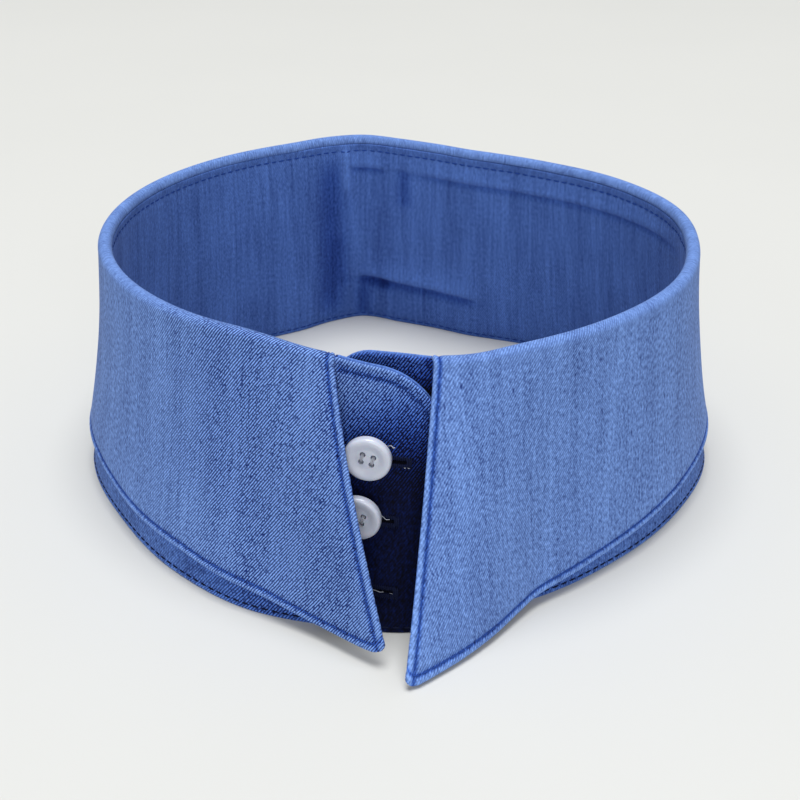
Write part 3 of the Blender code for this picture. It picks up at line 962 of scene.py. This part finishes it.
    def end_path(self) -> list[tuple[float, float]]:
        """The stitches of the upper free end: along its top edge, round its corner and down to the foot."""
        path = [(self.corners[1] + 0.8, self.end_line)]
        inner = UPPER_END.rounding - self.end_line
        for turn in range(0, 91, 10):
            back = UPPER_END.rounding - inner * math.sin(math.radians(turn))
            along = self.length - back
            top = FORM.stand_top(self.angle(along))
            full = top + rounding_drop(UPPER_END.rounding, back)
            height = full - UPPER_END.rounding + inner * math.cos(math.radians(turn))
            path.append((along, FORM.height * (1 - height / top)))
        return [*path, (self.length - self.end_line, FORM.height - self.foot_line)]

    def crisp(self, along: float, down: float, face: Face) -> float:
        """How clearly the twill's wales stand out."""
        if face is Face.INNER:
            return 0.1
        if self.beyond(along):
            return self.end_wales.at(down)
        return self.strip_wales.at(self.angle(along))

    def grain(self, along: float, down: float, face: Face) -> float:
        """How uneven the threads are where no wales stand out."""
        return 0.4 if face is Face.INNER else 1.0

    def build(self, material: bpy.types.Material) -> bpy.types.Object:
        """Makes the stand in the place of its CAD node."""
        shell = self.shell()
        bm = shell.build()
        for vertex in bm.verts:
            vertex.co.z = max(vertex.co.z, 0.0)
        stand = add_object(shell.name, bm, FORM.to_part(), material)
        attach(stand, "root")
        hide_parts("collar_stand")
        return stand


@dataclass(frozen=True)
class LeafCloth:
    """The leaf: a doubled, shaped piece sewn to the stand's top edge, rolled over it down to two points."""

    column_step: float = 1.05
    row_step: float = 1.0
    fold_size: float = 0.55
    seam_fold: float = 0.12
    fall: float = 52.0
    front_line: float = 1.15
    hem_line: float = 1.7
    groove_depth: float = 0.24
    roll_rows: int = 12
    wing_start: float = 120.0
    wing_reach: float = 30.0
    wing_middle: float = 22.0
    front_groove: float = 0.45
    front_puff: float = 0.4
    hem_groove: float = 0.5
    hem_puff: float = 0.6
    puff_height: float = 0.1
    scallop: float = 0.5
    drape: Wave = Wave(0.35, 0.035, 0.03, 9.0)
    left_wales: Ramp = Ramp(303.0, 331.0, 0.15, 1.0)
    right_wales: Ramp = Ramp(25.0, 50.0, 0.3, 0.1)
    flat: tuple[float, float] = (0.47, 0.066)
    flat_area: float = 0.0198

    @property
    def roll(self) -> float:
        """The length of the roll, from the seam over the stand's top edge."""
        return math.pi * (FORM.seam_gap + FORM.leaf_cloth + FORM.stand_cloth) / 2

    @property
    def depth(self) -> float:
        """The leaf's depth from its seam to its hem."""
        return self.roll + self.fall

    @property
    def length(self) -> float:
        """The leaf's length along its seam."""
        return (UPPER_END.leaf_corner - UNDER_END.leaf_corner) * FORM.mm_per_degree

    def angle(self, along: float) -> float:
        """The angle round the neck at a distance along the seam."""
        return UNDER_END.leaf_corner + along / FORM.mm_per_degree

    def place(self, along: float, down: float) -> Vector:
        """A point of the right side, at a distance along the seam and down from it, its tips rounded."""
        angle = self.angle(along)
        if down <= self.roll:
            point = FORM.roll_point(angle, max(down, 0.0) / self.roll)
            point.z -= (FORM.seam_gap + FORM.roll_rise) * (1 - ease(down / 1.2))
            return point
        end = FORM.nearest_end(angle)
        drop = rounding_drop(end.tip_round, abs(end.leaf_corner - angle) * FORM.mm_per_degree)
        return FORM.fall_point(angle, (down - self.roll) / self.fall * (1 - drop / FORM.tip_fall))

    def chart(self, along: float, down: float) -> tuple[float, float]:
        """The place on the flat cloth, which fans out towards the hem in the two front wings."""
        start, point = self.place(along, self.roll), self.place(along, max(down, self.roll))
        radius, angle = math.hypot(point.x, point.y), math.degrees(math.atan2(point.x, -point.y)) % 360
        wing = ease((abs(angle - 180.0) - self.wing_start) / self.wing_reach)
        middle = self.wing_middle if angle < 180 else 360.0 - self.wing_middle
        across = angle * FORM.mm_per_degree
        across += wing * math.radians(angle - middle) * (radius - math.degrees(FORM.mm_per_degree))
        fall = math.hypot(start.z - point.z, radius - math.hypot(start.x, start.y))
        return across, min(down, self.roll) + fall

    def fullness(self, along: float, down: float) -> float:
        """How full the doubled cloth is near its folded edges."""
        nearest = min(along, self.length - along, self.depth - down)
        return min(fold_fullness(nearest, self.fold_size), fold_fullness(down, self.seam_fold))

    def relief(self, along: float, down: float, face: Face) -> float:
        """How far the cloth stands out of its plain form, in the right side's direction."""
        front, hem = min(along, self.length - along), self.depth - down
        dent = max(hump(front, self.front_line, self.front_groove), hump(hem, self.hem_line, self.hem_groove))
        puff = max(hump(front, self.front_line / 2, self.front_puff), hump(hem, self.hem_line / 2, self.hem_puff))
        puff *= 1 + self.scallop * math.sin(math.tau * (down if front < hem else along) / STITCH_PITCH)
        lift = self.puff_height * puff - self.groove_depth * dent
        drape = self.drape.at(along, down) * ease((down - self.roll) / 20.0)
        return drape + face.value * lift * self.fullness(along, down)

    def wear(self, along: float, down: float, face: Face) -> float:
        """How faded the cloth is, most at its folded edges and along the roll."""
        edge = min(along, self.length - along, self.depth - down)
        return 0.6 * math.exp(-((edge / 0.9) ** 2)) + 0.1 * hump(down, self.roll / 2, 2.5)

    def indigo_and_painted_shade(self, along: float, down: float, face: Face) -> float:
        """How dark the cloth is painted: a deeper indigo on the side turned in, and painted shade in the grooves along
        the stitching.
        """
        if face is Face.INNER:
            return 0.25 if down > self.roll else 0.0
        # Painted shade in the grooves of the front and hem stitch lines.
        front = 0.5 * hump(min(along, self.length - along), self.front_line, 0.32)
        return max(front, 0.5 * hump(self.depth - down, self.hem_line, 0.35))

    def crisp(self, along: float, down: float, face: Face) -> float:
        """How clearly the twill's wales stand out: most beside the left front edge, least at the sides."""
        angle = self.angle(along)
        return (self.left_wales if angle > 180 else self.right_wales).at(angle)

    def grain(self, along: float, down: float, face: Face) -> float:
        """How uneven the threads are where no wales stand out: least on the roll and at the sides."""
        side = ease((110.0 - abs(self.angle(along) - 180.0)) / 30.0)
        return 1.0 - 0.5 * max(side, 1.0 - ease((down - self.roll) / 2.0))

    def shell(self) -> Shell:
        """The leaf's cloth, as a grid of distances along its seam and down from it."""
        seam = (0.0, self.seam_fold / 2, self.seam_fold)
        turns = [
            self.seam_fold + (self.roll - self.seam_fold) * i / self.roll_rows for i in range(1, self.roll_rows + 1)
        ]
        edges = (0.08, 0.25, 0.55, 0.85, 1.15, 1.45, 1.75, 2.2)
        return Shell(
            "leaf_cloth",
            filled(self.length, both_edges(edges), self.column_step),
            filled(self.depth, [*seam, *turns, *(-d for d in (*edges, 2.8))], self.row_step),
            FORM.leaf_cloth,
            self.place,
            self.fullness,
            self.relief,
            lambda along, down: (along, down),
            self.chart,
            {"wear_and_painted_highlight": self.wear, "indigo_and_painted_shade": self.indigo_and_painted_shade, "crisp_weave": self.crisp, "grain": self.grain},
        )

    def build(self, material: bpy.types.Material) -> bpy.types.Object:
        """Makes the leaf in the place of its CAD node."""
        shell = self.shell()
        bm = shell.build()
        for vertex in bm.verts:
            vertex.co.z = max(vertex.co.z, FORM.floor_clearance)
        leaf = add_object(shell.name, bm, FORM.to_part(), material)
        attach(leaf, "root")
        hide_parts("collar_leaf")
        return leaf


Spot = tuple[float, float]


@dataclass(frozen=True)
class StitchRow:
    """A row of lockstitches on one face of a cloth."""

    name: str
    shell: Shell
    face: Face
    path: Sequence[Spot]
    thread: SewingThread
    pitch: float = STITCH_PITCH
    length: float = 1.6
    radius: float = 0.2

    def spots(self) -> list[tuple[Vector, Vector, Vector]]:
        """The middle of each stitch, the way it runs and the way the cloth looks."""
        walk = [self.shell.surface(*spot, self.face) for spot in self.dense_path()]
        made, run = [], self.pitch / 2
        travelled = 0.0
        for (before, normal), (after, _) in zip(walk, walk[1:]):
            leg = (after - before).length
            while run <= travelled + leg:
                middle = before.lerp(after, (run - travelled) / leg)
                made.append((middle, (after - before).normalized(), normal))
                run += self.pitch
            travelled += leg
        return made

    def dense_path(self) -> list[Spot]:
        """The path, with spots no more than half a millimetre apart."""
        dense = [self.path[0]]
        for (a0, d0), (a1, d1) in zip(self.path, self.path[1:]):
            count = max(math.ceil(math.hypot(a1 - a0, d1 - d0) / 0.5), 1)
            dense += [(a0 + (a1 - a0) * i / count, d0 + (d1 - d0) * i / count) for i in range(1, count + 1)]
        return dense

    def build(self, material: bpy.types.Material) -> bpy.types.Object:
        """Sews the row: each stitch a slim bead whose ends sink into the cloth."""
        bm = bmesh.new()
        for middle, along, normal in self.spots():
            side = normal.cross(along).normalized()
            turn = Matrix((side, normal, along)).transposed().to_4x4()
            size = Matrix.Diagonal((self.radius, self.radius, self.length / 2, 1.0))
            lift = Matrix.Translation(middle + normal * 0.02)
            bmesh.ops.create_uvsphere(bm, u_segments=6, v_segments=5, radius=1.0, matrix=lift @ turn @ size)
        row = add_object(self.name, bm, FORM.to_part(), material)
        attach(row, "root")
        return row


@dataclass(frozen=True)
class Button:
    """A dished four-hole button over its buttonhole."""

    fastening: Fastening
    diameter: float = 8.6
    thickness: float = 1.9
    rim_round: float = 0.6
    dish_diameter: float = 5.8
    dish_depth: float = 0.5
    hole_diameter: float = 1.05
    hole_pitch: tuple[float, float] = (1.95, 1.55)
    tilt: float = 12.0
    turn: float = -14.0
    sides: int = 72
    sharp_angle: float = 50.0

    def seat(self, lift: float) -> Matrix:
        """The frame of the fastening: X along the buttonhole, Z out of the cloth, lifted off the outer face."""
        angle, height = self.fastening.angle, self.fastening.height
        normal = FORM.normal(angle, height)
        across = Vector((0, 0, 1)).cross(normal).normalized()
        turn = Matrix((across, normal.cross(across), normal)).transposed().to_4x4()
        return Matrix.Translation(around(angle, FORM.radius(angle, height), height) + lift * normal) @ turn

    @property
    def frame(self) -> Matrix:
        """The button's frame, tipped so that its upper edge stands a little further off the cloth."""
        tilt = math.radians(self.tilt)
        lift = FORM.seam_gap + self.diameter / 2 * math.sin(tilt)
        return self.seat(lift) @ Matrix.Rotation(tilt, 4, "X") @ Matrix.Rotation(math.radians(self.turn), 4, "Z")

    def profile(self) -> list[tuple[float, float]]:
        """Half of the button's section, from the middle of its back to the middle of its dished face."""
        radius, dish, edge = self.diameter / 2, self.dish_diameter / 2, self.rim_round
        back = [(0.0, 0.0), (radius * 0.5, 0.0), (radius - 2 * edge, 0.0), (radius - edge, 0.05)]
        low = [
            (radius - edge * (1 - math.sin(math.radians(a))), edge * (1 - math.cos(math.radians(a))) + 0.02)
            for a in range(30, 91, 15)
        ]
        high = [
            (radius - edge * (1 - math.cos(math.radians(a))), self.thickness - edge * (1 - math.sin(math.radians(a))))
            for a in range(0, 91, 15)
        ]
        floor = self.thickness - self.dish_depth
        brim, middle = radius - edge - 0.15, dish * 0.62
        bowl = [
            (brim + (middle - brim) * t, floor + self.dish_depth * (1 - ease(t)))
            for t in (0.0, 0.15, 0.3, 0.45, 0.6, 0.75, 0.9, 1.0)
        ]
        return [*back, *low, *high, *bowl, (dish * 0.4, floor), (0.0, floor)]

    def cutter(self) -> bpy.types.Object:
        """Four pegs that cut the thread holes."""
        bm = bmesh.new()
        wide, high = (pitch / 2 for pitch in self.hole_pitch)
        for x, y in ((-wide, -high), (wide, -high), (wide, high), (-wide, high)):
            bmesh.ops.create_cone(
                bm,
                cap_ends=True,
                segments=20,
                radius1=self.hole_diameter / 2,
                radius2=self.hole_diameter / 2,
                depth=3 * self.thickness,
                matrix=Matrix.Translation((x, y, 0)),
            )
        return add_object("pegs", bm, FORM.to_part() @ self.frame)

    def build(self, material: bpy.types.Material) -> bpy.types.Object:
        """Turns the button and cuts its holes, in the place of its CAD node."""
        bm = bmesh.new()
        points = [bm.verts.new((x, 0.0, z)) for x, z in self.profile()]
        edges = [bm.edges.new(pair) for pair in zip(points, points[1:])]
        bmesh.ops.spin(
            bm,
            geom=points + edges,
            cent=(0, 0, 0),
            axis=(0, 0, 1),
            angle=math.tau,
            steps=self.sides,
            use_merge=True,
        )
        bmesh.ops.remove_doubles(bm, verts=bm.verts, dist=0.001)
        bmesh.ops.recalc_face_normals(bm, faces=bm.faces)
        name = self.fastening.node.replace("button", "pearl_button")
        button = add_object(name, bm, FORM.to_part() @ self.frame, material)
        apply_cut(button, self.cutter())
        button.data.set_sharp_from_angle(angle=math.radians(self.sharp_angle))
        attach(button, "root")
        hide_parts(self.fastening.node)
        return button


def apply_cut(piece: bpy.types.Object, cutter: bpy.types.Object) -> None:
    """Cuts one object out of another for good, and removes the cutter."""
    cut = piece.modifiers.new("cut", "BOOLEAN")
    cut.operation = "DIFFERENCE"
    cut.solver = "EXACT"
    cut.object = cutter
    bpy.context.view_layer.objects.active = piece
    with bpy.context.temp_override(object=piece, active_object=piece, selected_objects=[piece]):
        bpy.ops.object.modifier_apply(modifier=cut.name)
    bpy.data.objects.remove(cutter, do_unlink=True)


@dataclass(frozen=True)
class Buttonhole:
    """A buttonhole cut through the stand's upper end and edged with close stitches."""

    button: Button
    length: float = 11.4
    width: float = 0.7
    depth: float = 1.8
    drop: float = 1.2
    bar_pitch: float = 0.36
    bar_length: float = 0.9
    bar_radius: float = 0.17

    @property
    def frame(self) -> Matrix:
        """The slit's frame: X along it, Z out of the cloth."""
        return self.button.seat(0.0) @ Matrix.Translation((self.button.fastening.hole_shift, -self.drop, 0.0))

    def cutter(self) -> bpy.types.Object:
        """A thin block with rounded ends, which cuts the slit and stops short of the under end."""
        bm = bmesh.new()
        bmesh.ops.create_cube(bm, size=1.0)
        bmesh.ops.scale(bm, vec=(self.length, self.width, 2 * self.depth), verts=bm.verts)
        upright = [edge for edge in bm.edges if abs(edge.verts[0].co.z - edge.verts[1].co.z) > self.depth]
        bmesh.ops.bevel(
            bm,
            geom=upright,
            affect="EDGES",
            offset=self.width * 0.4,
            segments=3,
            profile=0.5,
            material=-1,
        )
        return add_object("slit", bm, FORM.to_part() @ self.frame)

    def cut(self, stand: bpy.types.Object) -> None:
        """Cuts the slit, and paints its walls with the fullest painted shade."""
        apply_cut(stand, self.cutter())
        into = (FORM.to_part() @ self.frame).inverted()
        indigo_and_painted_shade = stand.data.attributes["indigo_and_painted_shade"].data
        for vertex in stand.data.vertices:
            spot = into @ vertex.co
            reach = (self.length / 2 + 0.1, self.width / 2 + 0.1, self.depth)
            # Painted shade: the slit's walls get the darkest shade value.
            if all(abs(distance) < limit for distance, limit in zip(spot, reach)):
                indigo_and_painted_shade[vertex.index].value = 1.0

    def bars(self) -> list[tuple[Vector, Vector]]:
        """The two ends of each stitch round the slit, in the slit's frame."""
        made, count = [], round(self.length / self.bar_pitch)
        for i in range(count + 1):
            x = (i / count - 0.5) * self.length
            for side in (-1, 1):
                inner, outer = side * self.width * 0.35, side * (self.width / 2 + self.bar_length)
                made.append((Vector((x, inner, 0.0)), Vector((x, outer, 0.0))))
        for side in (-1, 1):
            x = side * (self.length / 2 + 0.25)
            made += [(Vector((x + d * side, -1.3, 0.05)), Vector((x + d * side, 1.3, 0.05))) for d in (0.0, 0.3, 0.6)]
        return made

    def sew(self, bm: bmesh.types.BMesh) -> None:
        """Adds the slit's stitches to a mesh."""
        for start, end in self.bars():
            middle, run = (start + end) / 2, end - start
            along = run.normalized()
            side = along.cross(Vector((0, 0, 1)))
            turn = Matrix((side, along, Vector((0, 0, 1)))).transposed().to_4x4()
            size = Matrix.Diagonal((self.bar_radius, run.length / 2, self.bar_radius, 1.0))
            matrix = self.frame @ Matrix.Translation(middle) @ turn @ size
            bmesh.ops.create_uvsphere(bm, u_segments=6, v_segments=5, radius=1.0, matrix=matrix)


@dataclass(frozen=True)
class ThreadEnd:
    """A short length of sewing thread, round in section, along a smooth path."""

    path: tuple[tuple[float, float, float], ...]
    radius: float = 0.13

    def lay(self, bm: bmesh.types.BMesh, frame: Matrix, steps: int = 4, sides: int = 8) -> None:
        """Adds the thread to a mesh.

        Args:
            bm: the mesh, in millimetres.
            frame: the frame that the path is given in.
            steps: rings from one point of the path to the next.
            sides: the faces round the thread.
        """
        points = [Vector(p) for p in self.path]
        padded = [points[0], *points, points[-1]]
        line = []
        for p0, p1, p2, p3 in zip(padded, padded[1:], padded[2:], padded[3:]):
            for i in range(steps):
                t = i / steps
                bend = 2 * p1 + (p2 - p0) * t + (2 * p0 - 5 * p1 + 4 * p2 - p3) * t * t
                line.append((bend + (3 * p1 - p0 - 3 * p2 + p3) * t**3) / 2)
        line.append(points[-1])
        rings = []
        for i, spot in enumerate(line):
            ahead = (line[min(i + 1, len(line) - 1)] - line[max(i - 1, 0)]).normalized()
            turn = ahead.to_track_quat("Z", "Y").to_matrix().to_4x4()
            matrix = frame @ Matrix.Translation(spot) @ turn
            ring = bmesh.ops.create_circle(bm, segments=sides, radius=self.radius, matrix=matrix)["verts"]
            rings.append(list(dict.fromkeys(edge for vertex in ring for edge in vertex.link_edges)))
        for before, after in zip(rings, rings[1:]):
            bmesh.ops.bridge_loops(bm, edges=before + after)
        bmesh.ops.edgeloop_fill(bm, edges=rings[0])
        bmesh.ops.edgeloop_fill(bm, edges=rings[-1])


def button_thread(button: Button) -> list[ThreadEnd]:
    """The threads that hold a button, from hole to hole over its face, in the button's frame."""
    (wide, half), top = (pitch / 2 for pitch in button.hole_pitch), button.thickness - button.dish_depth
    arch = ((-half, -1.0), (-half + 0.1, -0.1), (0.0, 0.2), (half - 0.1, -0.1), (half, -1.0))
    radius = ThreadEnd.radius
    places = (hole + shift for hole in (-wide, wide) for shift in (-radius, radius))
    return [ThreadEnd(tuple((x, y, top + rise) for y, rise in arch)) for x in places]


@dataclass(frozen=True)
class Studio:
    """A plain pale floor, soft light and the camera."""

    aim: Vector = Vector((0.00021, 0.00969, 0.0094))
    distance: float = 0.30
    elevation: float = 28.0
    lens: float = 59.36
    sensor: float = 36.0
    floor_size: float = 3.0
    room_light: str = "#f9f8f4"
    room_strength: float = 0.43

    # Each lamp's name, place, size and power
    lamps: tuple[tuple[str, tuple[float, float, float], float, float], ...] = (
        ("overhead_box", (0.0, 0.0, 2.2), 1.4, 46.5),
        ("front_box", (0.05, -1.25, 0.45), 0.8, 5.6),
    )

    def build_floor(self, material: bpy.types.Material) -> bpy.types.Object:
        """Lays the floor, a wide sheet of paper."""
        bm = bmesh.new()
        bmesh.ops.create_grid(bm, x_segments=8, y_segments=8, size=self.floor_size)
        floor = add_object("floor", bm, Matrix.Identity(4), material)
        return floor

    def build_lights(self) -> None:
        """Hangs a large soft light above and a weak one in front, and fills the room with an even one."""
        world = bpy.data.worlds.new("soft_room")
        world.use_nodes = True
        world.node_tree.nodes["Background"].inputs["Color"].default_value = linear(self.room_light)
        world.node_tree.nodes["Background"].inputs["Strength"].default_value = self.room_strength
        bpy.context.scene.world = world
        for name, place, size, power in self.lamps:
            light = bpy.data.lights.new(name, "AREA")
            light.shape, light.size, light.energy = "DISK", size, power
            lamp = bpy.data.objects.new(name, light)
            lamp.location = place
            lamp.rotation_euler = (Vector((0, 0, 0.02)) - lamp.location).to_track_quat("-Z", "Y").to_euler()
            bpy.context.scene.collection.objects.link(lamp)

    def build_camera(self) -> None:
        """Sets the camera at the photograph's viewing angle."""
        tilt = math.radians(self.elevation)
        camera = bpy.data.objects.new("camera", bpy.data.cameras.new("camera"))
        camera.data.lens, camera.data.sensor_width = self.lens, self.sensor
        camera.data.clip_start, camera.data.clip_end = 0.01, 20.0
        camera.location = self.aim + self.distance * Vector((0.0, -math.cos(tilt), math.sin(tilt)))
        camera.rotation_euler = (math.pi / 2 - tilt, 0.0, 0.0)
        bpy.context.scene.collection.objects.link(camera)
        bpy.context.scene.camera = camera
        bpy.context.scene.view_settings.view_transform = "Standard"


NAVY_THREAD = SewingThread("polyester_thread_spun_navy", "#2a4ea2", "#183578")
INDIGO_THREAD = SewingThread("polyester_thread_spun_indigo", "#1b3880", "#0d2458")
DARK_THREAD = SewingThread("polyester_thread_spun_midnight", "#0c173c", "#060c22")
PALE_THREAD = SewingThread("polyester_thread_spun_grey", "#b9bcc6", "#8e92a0")

# The loose thread ends beside each fastening, in the fastening's own frame
LOOSE_ENDS = {
    "button_top": (
        ThreadEnd(((3.2, 1.8, 0.5), (3.9, 2.1, 0.9), (4.35, 1.9, 1.3), (4.6, 1.95, 1.2)), 0.09),
        ThreadEnd(((6.1, -2.0, 0.05), (6.3, -2.1, 0.25), (6.5, -2.05, 0.05)), 0.045),
        ThreadEnd(((6.8, -2.0, 0.05), (7.0, -2.1, 0.2), (7.15, -2.1, 0.05)), 0.045),
    ),
    "button_middle": (ThreadEnd(((3.6, 0.2, 0.4), (4.3, -0.2, 0.6), (4.9, -0.5, 0.9), (5.5, -0.45, 0.8)), 0.055),),
    "button_bottom": (
        ThreadEnd(((4.6, -1.05, 0.1), (5.6, -1.0, 0.3), (6.4, -1.2, 0.3), (7.0, -1.15, 0.1)), 0.05),
        ThreadEnd(((8.2, -1.3, 0.05), (8.4, -1.25, 0.15), (8.7, -1.35, 0.05)), 0.03),
    ),
}


def stitch_rows() -> list[StitchRow]:
    """The rows of stitches on the stand and the leaf."""
    stand, leaf = StandCloth(), LeafCloth()
    leaf_shell, stand_shell = leaf.shell(), stand.shell()
    front, hem, low = leaf.front_line, leaf.depth - leaf.hem_line, FORM.height - stand.foot_line
    start, finish = stand.corners
    top = leaf.roll * 0.45
    edge = [(front, top), (front, hem), (leaf.length - front, hem), (leaf.length - front, top)]
    crest = [(start, stand.crest_line), (finish, stand.crest_line)]
    foot = [(1.5, low), (stand.length - 2.0, low)]
    return [
        StitchRow("leaf_edge_stitches", leaf_shell, Face.OUTER, edge, NAVY_THREAD),
        StitchRow("crest_stitches", stand_shell, Face.INNER, crest, NAVY_THREAD),
        StitchRow("foot_stitches", stand_shell, Face.OUTER, foot, DARK_THREAD),
        StitchRow("foot_stitches_inside", stand_shell, Face.INNER, foot, NAVY_THREAD),
        StitchRow("end_stitches", stand_shell, Face.OUTER, stand.end_path(), INDIGO_THREAD),
    ]


def sew_buttonholes(buttons: Sequence[Button], material: bpy.types.Material) -> bpy.types.Object:
    """Makes the stitches round every buttonhole."""
    bm = bmesh.new()
    for button in buttons:
        Buttonhole(button).sew(bm)
    piece = add_object("buttonhole_stitches", bm, FORM.to_part(), material)
    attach(piece, "root")
    return piece


def sew_buttons(buttons: Sequence[Button]) -> bpy.types.Object:
    """Makes the pale threads that hold the buttons, with their loose ends."""
    bm = bmesh.new()
    for button in buttons:
        for thread in button_thread(button):
            thread.lay(bm, button.frame)
        for thread in LOOSE_ENDS[button.fastening.node]:
            thread.lay(bm, button.seat(0.0))
    bmesh.ops.recalc_face_normals(bm, faces=bm.faces)
    piece = add_object("button_threads", bm, FORM.to_part(), PALE_THREAD.make())
    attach(piece, "root")
    return piece


def report(piece: bpy.types.Object) -> None:
    """Logs a finished piece and its size."""
    LOG.info("%s: %d faces", piece.name, len(piece.data.polygons))


def main() -> None:
    """Builds the collar's pieces in order, then the studio."""
    logging.basicConfig(level=logging.INFO, format="%(message)s")
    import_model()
    cloth = ChambrayTwill().make()
    stand = StandCloth().build(cloth)
    report(stand)
    leaf = LeafCloth().build(cloth)
    report(leaf)
    threads = {thread: thread.make() for thread in (NAVY_THREAD, INDIGO_THREAD, DARK_THREAD)}
    for row in stitch_rows():
        report(row.build(threads[row.thread]))
    pearl = PearlPolyester().make()
    buttons = [Button(fastening) for fastening in FASTENINGS]
    for button in buttons:
        report(button.build(pearl))
        Buttonhole(button).cut(stand)
    for piece in sew_buttonholes(buttons, threads[DARK_THREAD]), sew_buttons(buttons):
        report(piece)
    studio = Studio()
    studio.build_floor(PalePaper().make())
    studio.build_lights()
    studio.build_camera()


if __name__ == "__main__":
    main()
